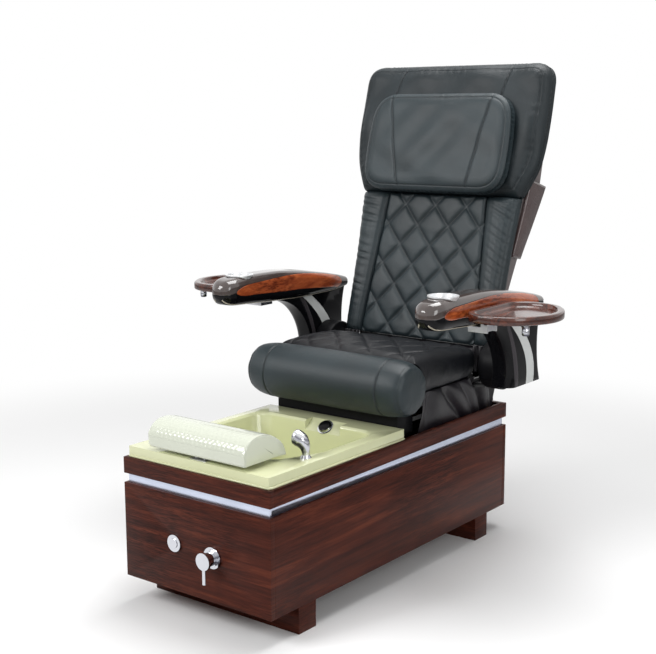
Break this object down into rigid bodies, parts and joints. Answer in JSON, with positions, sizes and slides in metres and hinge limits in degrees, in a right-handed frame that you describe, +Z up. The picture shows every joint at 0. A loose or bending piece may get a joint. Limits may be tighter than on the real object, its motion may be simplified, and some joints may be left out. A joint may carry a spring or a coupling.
{
  "type": "pedicure bench",
  "caption": "Pedicure bench: a foot basin in a wood-faced cabinet, and a quilted reclining massage chair on slide rails with lifting arms and folding side trays.",
  "frame": {"origin": "on the floor, midway between the four anchor holes in the plinths", "axes": "+Z up, +Y from the foot basin towards the backrest, +X to the left hand of a person seated in it, which is the right in a view from the front"},
  "size_m": [1.3918, 1.4985, 1.5896],
  "materials": {
    "mahogany_laminate": "satin laminate with a dark horizontal grain",
    "plywood": "raw sealed plywood",
    "silver_strip": "brushed",
    "cream_basin": "glossy moulded acrylic",
    "chrome": "polished",
    "braided_hose": "matt",
    "copper_pipe": "drawn tube",
    "grey_waste": "matt moulded",
    "black_plastic": "satin moulded",
    "black_steel": "powder coat",
    "steel": "machined",
    "black_leather": "satin synthetic leather over foam",
    "shell_grey": "gloss moulded",
    "arm_black": "piano gloss",
    "arm_smoke": "smoky gloss",
    "burl_wood": "lacquered burl",
    "tray_wood": "lacquered dark grain",
    "roller_rubber": "matt"
  },
  "bodies": {
    "base": {"plinths": "mahogany_laminate", "front_panel": "mahogany_laminate", "rear_panel": "mahogany_laminate", "case_panels": "mahogany_laminate", "core_frame": "plywood", "trim_strip": "silver_strip", "top_band": "mahogany_laminate", "foot_basin": "cream_basin", "footrest_bracket": "black_steel", "mixer_valve": "chrome", "button_bezel": "chrome", "sprayer_collar": "chrome", "water_pipes": "copper_pipe", "sprayer_hose": "braided_hose", "jet_cover": "chrome", "jet_motor": "black_plastic", "drain_fitting": "chrome", "waste_pipe": "grey_waste", "slide_frame": "black_steel", "apron": "black_plastic", "control_box": "black_plastic", "slide_motor": "steel"},
    "footrest": {"footrest": "cream_basin"},
    "mixer_handle": {"mixer_handle": "chrome"},
    "air_button": {"air_button": "chrome"},
    "sprayer_head": {"sprayer_head": "chrome"},
    "jet_impeller": {"jet_impeller": "grey_waste"},
    "drain_stopper": {"drain_stopper": "chrome"},
    "seat": {"seat_frame": "black_steel", "seat_pan": "plywood", "seat_cushion": "black_leather", "seat_roll": "black_leather", "skirts": "black_leather", "arm_carriers": "black_steel", "recline_motor": "steel"},
    "recline_rod": {"recline_rod": "steel"},
    "back": {"back_frame": "black_steel", "back_board": "plywood", "back_shell": "shell_grey", "back_quilt": "black_leather", "back_bolsters": "black_leather", "head_cushion": "black_leather", "head_pillow": "black_leather", "side_pocket": "black_leather"},
    "massage_carriage": {"massage_carriage": "black_plastic"},
    "massage_rollers": {"massage_rollers": "roller_rubber"},
    "arm_left": {"arm_body_left": "arm_black", "arm_cover_left": "arm_smoke", "arm_inlays_left": "burl_wood", "arm_leg_left": "arm_black", "cup_holder_left": "chrome", "tray_bracket_left": "black_steel"},
    "arm_right": {"arm_body_right": "arm_black", "arm_cover_right": "arm_smoke", "arm_inlays_right": "burl_wood", "arm_leg_right": "arm_black", "cup_holder_right": "chrome", "tray_bracket_right": "black_steel"},
    "tray_left": {"side_tray_left": "tray_wood"},
    "tray_right": {"side_tray_right": "tray_wood"}
  },
  "joints": [
    {"name": "seat_slide", "type": "slide", "parent": "base", "child": "seat", "axis": [0, -1, 0], "range_m": [0, 0.08]},
    {"name": "back_recline", "type": "hinge", "parent": "seat", "child": "back", "pos_m": [0, 0.495, 0.63], "axis": [-1, 0, 0], "range_deg": [0, 35]},
    {"name": "recline_rod_travel", "type": "slide", "parent": "seat", "child": "recline_rod", "axis": [0, 1, 0], "range_m": [-0.065, 0]},
    {"name": "massage_travel", "type": "slide", "parent": "back", "child": "massage_carriage", "axis": [0, 0.2588, 0.9659], "range_m": [-0.2, 0.45]},
    {"name": "roller_spin", "type": "hinge", "parent": "massage_carriage", "child": "massage_rollers", "pos_m": [0, 0.61132, 0.94047], "axis": [1, 0, 0], "continuous": true},
    {"name": "arm_lift_left", "type": "hinge", "parent": "seat", "child": "arm_left", "pos_m": [-0.4, 0.459, 0.61], "axis": [-1, 0, 0], "range_deg": [0, 60]},
    {"name": "arm_lift_right", "type": "hinge", "parent": "seat", "child": "arm_right", "pos_m": [0.4, 0.459, 0.61], "axis": [-1, 0, 0], "range_deg": [0, 60]},
    {"name": "tray_fold_left", "type": "hinge", "parent": "arm_left", "child": "tray_left", "pos_m": [-0.474, 0.175, 0.806], "axis": [0, -1, 0], "range_deg": [0, 90]},
    {"name": "tray_fold_right", "type": "hinge", "parent": "arm_right", "child": "tray_right", "pos_m": [0.474, 0.175, 0.806], "axis": [0, 1, 0], "range_deg": [0, 90]},
    {"name": "footrest_tilt", "type": "hinge", "parent": "base", "child": "footrest", "pos_m": [0, -0.589, 0.4835], "axis": [1, 0, 0], "range_deg": [0, 30]},
    {"name": "mixer_turn", "type": "hinge", "parent": "base", "child": "mixer_handle", "pos_m": [0.07, -0.65, 0.212], "axis": [0, 1, 0], "range_deg": [-90, 90]},
    {"name": "air_button_press", "type": "slide", "parent": "base", "child": "air_button", "axis": [0, 1, 0], "range_m": [0, 0.004], "stiffness_N_per_m": 600},
    {"name": "sprayer_lift", "type": "slide", "parent": "base", "child": "sprayer_head", "axis": [0, 0, 1], "range_m": [0, 0.06]},
    {"name": "jet_spin", "type": "hinge", "parent": "base", "child": "jet_impeller", "pos_m": [0.02, -0.0525, 0.456], "axis": [0, -0.6247, 0.7809], "continuous": true},
    {"name": "drain_stopper_lift", "type": "slide", "parent": "base", "child": "drain_stopper", "axis": [0, 0, 1], "range_m": [0, 0.01]}
  ],
  "couplings": [
    {"joint": "recline_rod_travel", "follows": "back_recline", "m_per_rad": -0.10117}
  ]
}
